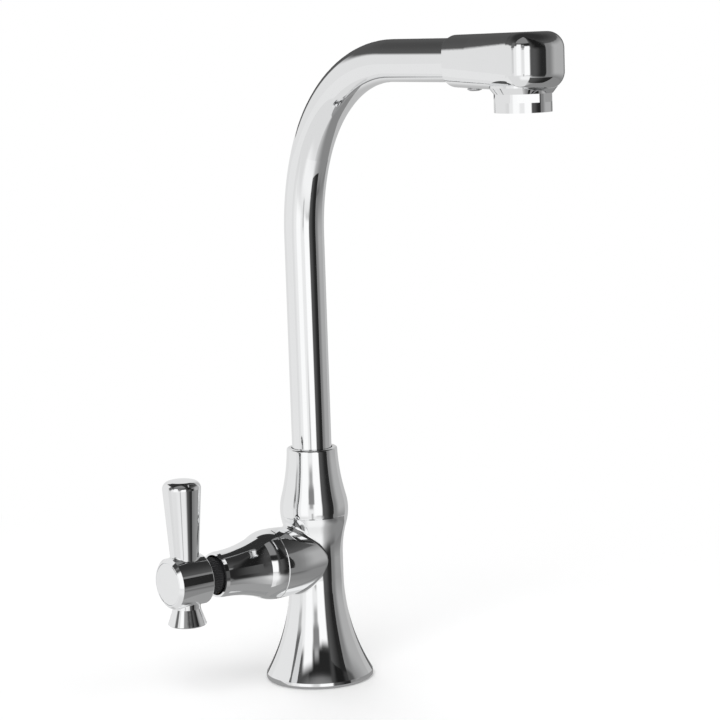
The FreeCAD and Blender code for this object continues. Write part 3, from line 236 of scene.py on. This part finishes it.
def makeWorld():
    world = bpy.data.worlds.new("studio")
    scene.world = world
    tree = emptyTree(world)
    azimuth, elevation = lookAngles(tree)
    ceiling = ramp(tree, elevation, *room["ceiling"])
    ground = ramp(tree, azimuth, *room["ground"])
    tone = mixTone(tree, ramp(tree, elevation, *room["groundEdge"]), ceiling, ground)
    group = makeReflectorGroup()
    for name, sizes in reflectors.items():
        card = useGroup(tree, group, azimuth=azimuth, elevation=elevation, under=tone, **sizes)
        card.label = name
        tone = card.outputs[0]
    seen = addNode(tree, "ShaderNodeLightPath").outputs
    mirrored = calc(tree, "MAXIMUM", seen["Is Glossy Ray"], seen["Is Transmission Ray"])
    light = mixTone(tree, mirrored, room["softLight"], tone)
    sky = addNode(tree, "ShaderNodeBackground")
    join(tree, mixTone(tree, seen["Is Camera Ray"], light, room["backdrop"]), sky.inputs["Color"])
    out = addNode(tree, "ShaderNodeOutputWorld")
    join(tree, sky.outputs[0], out.inputs["Surface"])


lamps = {         # metres and watts; mirrors don't show them
    "key": dict(at=(-0.9, -0.7, 1.1), size=0.9, power=9.0),
    "fill": dict(at=(0.8, -0.9, 0.7), size=0.9, power=3.0),
    "back": dict(at=(0.3, 1.1, 0.9), size=0.8, power=4.0),
}
lampAim = Vector((0, -0.06, 0.15))     # the middle of the tap


def makeLamps():
    for name, sizes in lamps.items():
        data = bpy.data.lights.new(name, "AREA")
        data.size = sizes["size"]
        data.energy = sizes["power"]
        lamp = addObject(name, data)
        lamp.location = sizes["at"]
        lamp.rotation_euler = (lampAim - lamp.location).to_track_quat("-Z", "Y").to_euler()
        lamp.visible_glossy = False


nearWalls = {     # low walls close to the tap, in metres in the photographer's axes; tones fade along them
    "backWall": dict(start=(-0.20, 0.14), end=(0.20, 0.14), high=0.272,
                     tone=(0.78, 0.52), fade=(-0.05, 0.05)),
    "sideWall": dict(start=(-0.20, -0.06), end=(-0.20, 0.14), high=0.250,
                     tone=(0.83, 0.83), fade=(-0.05, 0.05)),
    "blackCard": dict(start=(0.18, -0.30), end=(0.325, -0.131), high=0.200,
                      tone=(0.09, 0.02), fade=(0.19, 0.28)),
}
deckDisc = {      # keeps the shank under the deck out of the chrome
    "radius": 0.056,
    "drop": 0.0002,
    "sides": 64,
    "tone": (0.34, 0.26),    # left and right of the tap
    "fade": (0.0, 0.06),
}
paleFloor = {
    "radius": 6.0,
    "drop": 0.0001,
    "sides": 96,
    "tone": 0.94,
    "fade": (0.10, 0.45),    # metres from the tap over which its shadow gives way to white
}


def glowing(name, sizes):
    material = bpy.data.materials.new(name)
    tree = emptyTree(material)
    glow = addNode(tree, "ShaderNodeEmission")
    across = separate(tree, objectSpot(tree))["X"]
    join(tree, ramp(tree, across, *sizes["fade"], *sizes["tone"]), glow.inputs["Color"])
    out = addNode(tree, "ShaderNodeOutputMaterial")
    join(tree, glow.outputs[0], out.inputs["Surface"])
    return material


def floorFinish(sizes):      # takes the tap's shadow near it and is white further off
    material = bpy.data.materials.new("paleFloor")
    tree = emptyTree(material)
    away = addNode(tree, "ShaderNodeVectorMath", operation="LENGTH")
    join(tree, objectSpot(tree), away.inputs[0])
    seen = addNode(tree, "ShaderNodeLightPath").outputs["Is Camera Ray"]
    matt = addNode(tree, "ShaderNodeBsdfDiffuse")
    matt.inputs["Color"].default_value = (*[sizes["tone"]] * 3, 1)
    bright = addNode(tree, "ShaderNodeEmission")
    bright.inputs["Color"].default_value = (1, 1, 1, 1)
    blend = addNode(tree, "ShaderNodeMixShader")
    join(tree, times(tree, ramp(tree, away.outputs["Value"], *sizes["fade"]), seen), blend.inputs[0])
    join(tree, matt.outputs[0], blend.inputs[1])
    join(tree, bright.outputs[0], blend.inputs[2])
    out = addNode(tree, "ShaderNodeOutputMaterial")
    join(tree, blend.outputs[0], out.inputs["Surface"])
    return material


def discMesh(name, sizes, material):
    shape = bmesh.new()
    bmesh.ops.create_circle(shape, cap_ends=True, segments=sizes["sides"], radius=sizes["radius"])
    bmesh.ops.translate(shape, vec=(0, 0, -sizes["drop"]), verts=shape.verts)
    mesh = bpy.data.meshes.new(name)
    shape.to_mesh(mesh)
    shape.free()
    mesh.materials.append(material)
    return mesh


def addMirrored(name, mesh):           # seen by mirrored rays alone
    item = addObject(name, mesh)
    item.rotation_euler.z = roomTurn
    for ray in ("camera", "diffuse", "transmission", "shadow", "volume_scatter"):
        setattr(item, "visible_" + ray, False)


def makeNearWalls():
    for name, sizes in nearWalls.items():
        ends = (sizes["start"], sizes["end"])
        low = [(x, y, 0.0) for x, y in ends]
        high = [(x, y, sizes["high"]) for x, y in reversed(ends)]
        mesh = bpy.data.meshes.new(name)
        mesh.from_pydata(low + high, [], [(0, 1, 2, 3)])
        mesh.materials.append(glowing(name, sizes))
        addMirrored(name, mesh)


def makeFloor():
    floor = addObject("floor", discMesh("floor", paleFloor, floorFinish(paleFloor)))
    floor.visible_glossy = False


makeCamera()
makeWorld()
makeLamps()
makeFloor()
makeNearWalls()
addMirrored("deckDisc", discMesh("deckDisc", deckDisc, glowing("deckDisc", deckDisc)))
scene.view_settings.view_transform = "Standard"
print("studio ready")


def addNoise(tree, spot, scale, detail, distortion=0.0):
    noise = addNode(tree, "ShaderNodeTexNoise")
    for name, value in (("Vector", spot), ("Scale", scale), ("Detail", detail), ("Distortion", distortion)):
        feed(tree, noise.inputs[name], value)
    return noise.outputs[0]


handling = {      # smears that fingers and cloths leave, waves of the polishing and a fine grain
    "smearScale": 45,
    "smearDetail": 5,
    "smearDistortion": 0.8,
    "smearEdges": (0.48, 0.72),
    "waveDetail": 1,
    "grainDetail": 2,
    "bumpDistance": 0.001,
}


def makeMarks():
    takes = {"roughness": 0.04, "smear": 0.03, "wave": 0.0, "waveScale": 60.0,
             "grain": 0.0, "grainScale": 1500.0}
    gives = {"Roughness": "NodeSocketFloat", "Normal": "NodeSocketVector"}
    group, given, out = newGroup("handlingMarks", takes, gives)
    spot = objectSpot(group)
    smears = addNoise(group, spot, handling["smearScale"], handling["smearDetail"],
                      handling["smearDistortion"])
    patch = ramp(group, smears, *handling["smearEdges"])
    join(group, calc(group, "MULTIPLY_ADD", patch, given["smear"], given["roughness"]), out["Roughness"])
    waves = addNoise(group, spot, given["waveScale"], handling["waveDetail"])
    grains = addNoise(group, spot, given["grainScale"], handling["grainDetail"])
    height = calc(group, "MULTIPLY_ADD", grains, given["grain"], times(group, waves, given["wave"]))
    bump = addNode(group, "ShaderNodeBump")
    bump.inputs["Strength"].default_value = 1.0
    bump.inputs["Distance"].default_value = handling["bumpDistance"]
    join(group, height, bump.inputs["Height"])
    join(group, bump.outputs["Normal"], out["Normal"])
    return group


marks = makeMarks()
finishValues = {  # two colours that mottle into each other, and how worn the surface is
    "chromeTurned": dict(low=(0.90, 0.905, 0.91), high=(0.94, 0.945, 0.95), metal=1.0, mottle=30,
                         roughness=0.035, smear=0.02, wave=0.006, waveScale=25),
    "chromeCast": dict(low=(0.90, 0.905, 0.91), high=(0.94, 0.945, 0.95), metal=1.0, mottle=30,
                       roughness=0.04, smear=0.02, wave=0.03, waveScale=45),
    "brass": dict(low=(0.68, 0.50, 0.24), high=(0.76, 0.58, 0.30), metal=1.0, mottle=30,
                  roughness=0.24, smear=0.10, grain=0.02, grainScale=900),
    "steel": dict(low=(0.50, 0.50, 0.51), high=(0.60, 0.60, 0.61), metal=1.0, mottle=30,
                  roughness=0.26, smear=0.08, grain=0.015, grainScale=1200),
    "rubber": dict(low=(0.016, 0.016, 0.017), high=(0.032, 0.032, 0.033), metal=0.0, mottle=200,
                   roughness=0.55, smear=0.15, grain=0.03, grainScale=900),
    "blackPlastic": dict(low=(0.014, 0.014, 0.015), high=(0.024, 0.024, 0.026), metal=0.0, mottle=200,
                         roughness=0.32, smear=0.10, grain=0.01, grainScale=1500),
    "nylon": dict(low=(0.74, 0.74, 0.70), high=(0.84, 0.84, 0.80), metal=0.0, mottle=200,
                  roughness=0.42, smear=0.10, grain=0.01, grainScale=1200),
    "ceramic": dict(low=(0.86, 0.84, 0.79), high=(0.92, 0.90, 0.86), metal=0.0, mottle=200,
                    roughness=0.16, smear=0.05),
    "insert": dict(low=(0.13, 0.14, 0.15), high=(0.18, 0.19, 0.20), metal=0.0, mottle=200,
                   roughness=0.40, smear=0.10, grain=0.01, grainScale=1300),
    "fibre": dict(low=(0.32, 0.09, 0.06), high=(0.52, 0.19, 0.13), metal=0.0, mottle=900,
                  roughness=0.75, smear=0.10, grain=0.05, grainScale=2500),
}
mottleDetail = 3


def mottledColour(tree, low, high, scale):
    blend = addNode(tree, "ShaderNodeMix", data_type="RGBA")
    join(tree, addNoise(tree, objectSpot(tree), scale, mottleDetail), blend.inputs[0])
    blend.inputs[6].default_value = (*low, 1)
    blend.inputs[7].default_value = (*high, 1)
    return blend.outputs[2]


def makeFinish(name, low, high, metal, mottle, **wear):
    material = bpy.data.materials.new(name)
    material.use_nodes = True
    tree = material.node_tree
    shader = tree.nodes["Principled BSDF"]
    shader.inputs["Metallic"].default_value = metal
    join(tree, mottledColour(tree, low, high, mottle), shader.inputs["Base Color"])
    worn = useGroup(tree, marks, **wear)
    for label in ("Roughness", "Normal"):
        join(tree, worn.outputs[label], shader.inputs[label])
    return material


finishes = {name: makeFinish(name, **values) for name, values in finishValues.items()}
print("finishes ready:", len(finishes))

finishOf = {
    "chromeTurned": ["spout_tube", "spout_collar", "bonnet_cover", "end_cap", "aerator_housing"],
    "chromeCast": ["body_casting", "nozzle_block", "handle"],
    "brass": ["mounting_shank", "lock_nut", "cartridge_body", "spindle", "spout_ferrule"],
    "steel": ["steel_washer", "handle_screw", "spindle_clip", "nozzle_screw", "aerator_screen"],
    "rubber": ["base_gasket", "rubber_washer", "seat_seal", "inner_stem_seal", "outer_stem_seal",
               "lower_spout_seal", "upper_spout_seal", "tube_end_seal", "aerator_washer"],
    "blackPlastic": ["ribbed_adaptor"],
    "nylon": ["guide_bush", "lower_thrust_ring", "upper_thrust_ring", "slip_washer"],
    "ceramic": ["fixed_disc", "moving_disc"],
    "insert": ["aerator_insert"],
    "fibre": ["cartridge_gasket"],
}
for finish, names in finishOf.items():
    for name in names:
        nodes[name].data.materials.clear()
        nodes[name].data.materials.append(finishes[finish])
print("finishes laid on", sum(len(names) for names in finishOf.values()), "pieces")


nose = {          # flat-fronted nose with round corners, millimetres; the solid's nose is turned
    "turnedAt": 166.0,       # centre of the solid's nose, from the pillar's axis
    "halfWidth": 14.2,
    "cornerAt": 168.1,       # centres of the round corners
    "cornerRound": 8.5,
    "frontRound": 22.0,
    "underside": 282.0,      # nothing lower than this moves
    "easeFrom": 3.0,         # from the nose's centre; nothing nearer moves
    "easeTo": 6.8,           # all that is further off moves in full
    "step": 0.01,            # from a point, to find how the surface tilts there
}


def noseReach(angle):        # from the nose's centre to the new outline, at an angle from straight ahead
    across = nose["halfWidth"] - nose["cornerRound"]       # a corner's centre, from the nose's
    ahead = nose["cornerAt"] - nose["turnedAt"]
    spread = nose["frontRound"] - nose["cornerRound"]
    deep = math.sqrt(spread ** 2 - across ** 2)
    share = nose["cornerRound"] / spread
    meet = math.atan2(across * (1 + share), ahead + deep * share)
    back = deep - ahead      # how far the front arc's centre lies behind the nose's
    if angle < meet:         # on the front's arc
        near = back * math.cos(angle)
        return math.sqrt(near ** 2 - back ** 2 + nose["frontRound"] ** 2) - near
    if angle < math.atan2(nose["halfWidth"], ahead):       # on a corner
        near = across * math.sin(angle) + ahead * math.cos(angle)
        return near + math.sqrt(near ** 2 - across ** 2 - ahead ** 2 + nose["cornerRound"] ** 2)
    return nose["halfWidth"] / math.sin(angle)             # on the flank


def noseMove(point):
    x, ahead, z = point.x / mm, -point.y / mm - nose["turnedAt"], point.z / mm
    reach = math.hypot(x, ahead)
    first, last = nose["easeFrom"], nose["easeTo"]
    if ahead <= 0 or z < nose["underside"] or reach < first:
        return point.copy()
    share = min((reach - first) / (last - first), 1.0)
    moved = reach + share * (noseReach(math.atan2(abs(x), ahead)) - nose["halfWidth"])
    factor = moved / reach
    return Vector((x * factor, -ahead * factor - nose["turnedAt"], z)) * mm


def tiltedNormals(mesh):
    step = nose["step"] * mm
    tilted = []
    for loop, corner in zip(mesh.loops, mesh.corner_normals):
        place = mesh.vertices[loop.vertex_index].co
        first = corner.vector.orthogonal().normalized()
        second = corner.vector.cross(first)
        here = noseMove(place)
        edges = [noseMove(place + way * step) - here for way in (first, second)]
        tilted.append(edges[0].cross(edges[1]).normalized())
    return tilted


def makeNozzle():
    mesh = nodes["nozzle_block"].data.copy()
    normals = tiltedNormals(mesh)
    for vertex in mesh.vertices:
        vertex.co = noseMove(vertex.co)
    mesh.normals_split_custom_set(normals)
    nozzle = addObject("nozzleCasting", mesh)
    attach(nozzle, "spout")
    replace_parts(nozzle, "nozzle_block")


makeNozzle()
print("nozzle ready")


def newShape(name, takes):
    group = bpy.data.node_groups.new(name, "GeometryNodeTree")
    for label, value in takes.items():
        kind = "NodeSocketInt" if isinstance(value, int) else "NodeSocketFloat"
        group.interface.new_socket(label, in_out="INPUT", socket_type=kind).default_value = value
    group.interface.new_socket("Geometry", in_out="OUTPUT", socket_type="NodeSocketGeometry")
    return group, addNode(group, "NodeGroupInput").outputs, addNode(group, "NodeGroupOutput").inputs[0]


def closeShape(group, shape, out, finish):
    real = addNode(group, "GeometryNodeRealizeInstances")
    join(group, shape, real.inputs[0])
    painted = addNode(group, "GeometryNodeSetMaterial")
    painted.inputs["Material"].default_value = finishes[finish]
    join(group, real.outputs[0], painted.inputs["Geometry"])
    join(group, painted.outputs[0], out)


def grow(name, group, sizes, body):
    piece = addObject(name, bpy.data.meshes.new(name))
    modifier = piece.modifiers.new("grow", "NODES")
    modifier.node_group = group
    for item in group.interface.items_tree:
        if item.in_out == "INPUT":
            modifier[item.identifier] = sizes[item.name]
    evaluated = piece.evaluated_get(bpy.context.evaluated_depsgraph_get())
    baked = bpy.data.meshes.new_from_object(evaluated)
    piece.modifiers.remove(modifier)
    piece.data = baked
    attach(piece, body)
    print(name, "baked:", len(baked.polygons), "faces")
    return piece


def layDown(group, shape, place, turn):
    laid = addNode(group, "GeometryNodeTransform")
    join(group, shape, laid.inputs["Geometry"])
    join(group, place, laid.inputs["Translation"])
    laid.inputs["Rotation"].default_value = turn
    return laid.outputs[0]


def positions(group):
    return separate(group, addNode(group, "GeometryNodeInputPosition").outputs[0])


sleeveLow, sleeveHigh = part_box("ribbed_adaptor")
coverEnd = -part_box("bonnet_cover")[0].x       # from the pillar's axis
neckRibs = {
    "count": 46,
    "sides": 8,
    "radius": sleeveHigh.y,            # the ribs stand on the sleeve's surface
    "rib": 0.26 * mm,
    "start": coverEnd + 0.5 * mm,      # just clear of the cover
    "length": 6.8 * mm,                # to just inside the hub
    "axis": (sleeveLow.z + sleeveHigh.z) / 2,
}


def makeNeckRibs():
    group, given, out = newShape("neckRibs", neckRibs)
    circle = addNode(group, "GeometryNodeMeshCircle")
    join(group, given["count"], circle.inputs["Vertices"])
    join(group, given["radius"], circle.inputs["Radius"])
    rib = addNode(group, "GeometryNodeMeshCylinder")
    join(group, given["sides"], rib.inputs["Vertices"])
    join(group, given["rib"], rib.inputs["Radius"])
    join(group, given["length"], rib.inputs["Depth"])
    ribs = addNode(group, "GeometryNodeInstanceOnPoints")
    join(group, circle.outputs[0], ribs.inputs["Points"])
    join(group, rib.outputs["Mesh"], ribs.inputs["Instance"])
    middle = calc(group, "MULTIPLY_ADD", given["length"], 0.5, given["start"])
    place = combine(group, times(group, middle, -1.0), 0.0, given["axis"])
    closeShape(group, layDown(group, ribs.outputs[0], place, (0, math.pi / 2, 0)), out, "blackPlastic")
    grow("neckRibs", group, neckRibs, "handle")


shankLow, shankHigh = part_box("mounting_shank")
shankThread = {
    "crest": shankHigh.x,
    "low": shankLow.z,
    "high": shankHigh.z,
    "depth": 1.0 * mm,
    "pitch": 1.814 * mm,     # half-inch pipe thread
    "steepness": 1.3,        # over 1 it leaves flats at crest and root
    "bore": 6.5 * mm,
    "chamfer": 0.8 * mm,
    "reliefLow": -31.0 * mm,
    "reliefHigh": -29.8 * mm,
    "reliefRadius": 9.6 * mm,
    "rows": 420,             # up the outside; three more close the ends and the bore
    "sides": 72,
}


def shankRow(group, given, row):       # height of a row, and whether it lies outside
    last = minus(group, given["rows"], 1.0)
    along = clamp(group, calc(group, "DIVIDE", minus(group, row, 1.0), last))
    closing = calc(group, "GREATER_THAN", row, plus(group, given["rows"], 1.5))
    along = times(group, along, minus(group, 1.0, closing))
    span = minus(group, given["high"], given["low"])
    height = calc(group, "MULTIPLY_ADD", along, span, given["low"])
    outside = times(group, calc(group, "GREATER_THAN", row, 0.5),
                    calc(group, "LESS_THAN", row, plus(group, given["rows"], 0.5)))
    return height, outside


def threadRadius(group, given, height, turn):
    wound = minus(group, calc(group, "DIVIDE", height, given["pitch"]), turn)
    flank = times(group, calc(group, "PINGPONG", wound, 0.5), 2.0)
    shift = times(group, minus(group, 1.0, given["steepness"]), 0.5)
    flank = clamp(group, calc(group, "MULTIPLY_ADD", flank, given["steepness"], shift))
    radius = minus(group, given["crest"], times(group, flank, given["depth"]))
    fromEnd = calc(group, "MINIMUM", minus(group, height, given["low"]), minus(group, given["high"], height))
    edge = plus(group, minus(group, given["crest"], given["chamfer"]), fromEnd)
    radius = calc(group, "MINIMUM", radius, edge)
    relieved = times(group, calc(group, "GREATER_THAN", height, given["reliefLow"]),
                     calc(group, "LESS_THAN", height, given["reliefHigh"]))
    return minus(group, radius, times(group, relieved, minus(group, radius, given["reliefRadius"])))


def makeShank():             # a grid rolled up: its rows run up the outside and back down the bore
    group, given, out = newShape("shankThread", shankThread)
    rows = plus(group, given["rows"], 3.0)
    grid = addNode(group, "GeometryNodeMeshGrid")
    join(group, plus(group, given["sides"], 1.0), grid.inputs["Vertices X"])
    join(group, rows, grid.inputs["Vertices Y"])
    spot = positions(group)
    turn = plus(group, spot["X"], 0.5)
    row = times(group, plus(group, spot["Y"], 0.5), minus(group, rows, 1.0))
    height, outside = shankRow(group, given, row)
    radius = threadRadius(group, given, height, turn)
    wall = times(group, minus(group, radius, given["bore"]), outside)
    radius = plus(group, given["bore"], wall)
    angle = times(group, turn, 2 * math.pi)
    place = combine(group, times(group, radius, calc(group, "COSINE", angle)),
                    times(group, radius, calc(group, "SINE", angle)), height)
    shaped = addNode(group, "GeometryNodeSetPosition")
    join(group, grid.outputs["Mesh"], shaped.inputs["Geometry"])
    join(group, place, shaped.inputs["Position"])
    joined = addNode(group, "GeometryNodeMergeByDistance")
    joined.inputs["Distance"].default_value = 0.001 * mm
    join(group, shaped.outputs[0], joined.inputs["Geometry"])
    closeShape(group, joined.outputs[0], out, "brass")
    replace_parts(grow("shankThread", group, shankThread, "root"), "mounting_shank")


screenLow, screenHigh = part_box("aerator_screen")
screenWires = {
    "radius": screenHigh.x - 0.15 * mm,
    "wires": 25,             # each way
    "sides": 6,
    "wire": 0.12 * mm,
    "lift": (screenLow.z + screenHigh.z) / 2,
    "reach": (screenLow.y + screenHigh.y) / 2,
}


def makeScreen():
    group, given, out = newShape("screenWires", screenWires)
    spacing = calc(group, "DIVIDE", times(group, given["radius"], 2.0), given["wires"])
    line = addNode(group, "GeometryNodeMeshLine")
    join(group, given["wires"], line.inputs["Count"])
    start = minus(group, times(group, spacing, 0.5), given["radius"])
    join(group, combine(group, start, 0.0, 0.0), line.inputs["Start Location"])
    join(group, combine(group, spacing, 0.0, 0.0), line.inputs["Offset"])
    off = positions(group)["X"]
    square = times(group, given["radius"], given["radius"])
    halfChord = calc(group, "SQRT", minus(group, square, times(group, off, off)))
    wire = addNode(group, "GeometryNodeMeshCylinder")
    join(group, given["sides"], wire.inputs["Vertices"])
    wire.inputs["Depth"].default_value = 1.0
    join(group, given["wire"], wire.inputs["Radius"])
    row = addNode(group, "GeometryNodeInstanceOnPoints")
    join(group, line.outputs[0], row.inputs["Points"])
    join(group, wire.outputs["Mesh"], row.inputs["Instance"])
    row.inputs["Rotation"].default_value = (math.pi / 2, 0, 0)
    join(group, combine(group, 1.0, 1.0, times(group, halfChord, 2.0)), row.inputs["Scale"])
    both = addNode(group, "GeometryNodeJoinGeometry")
    for turn, side in ((0.0, 1.0), (math.pi / 2, -1.0)):   # one layer over the other, crosswise
        lifted = calc(group, "MULTIPLY_ADD", given["wire"], side, given["lift"])
        place = combine(group, 0.0, given["reach"], lifted)
        join(group, layDown(group, row.outputs[0], place, (0, 0, turn)), both.inputs[0])
    closeShape(group, both.outputs[0], out, "steel")
    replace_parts(grow("screenWires", group, screenWires, "spout"), "aerator_screen")


makeNeckRibs()
makeShank()
makeScreen()
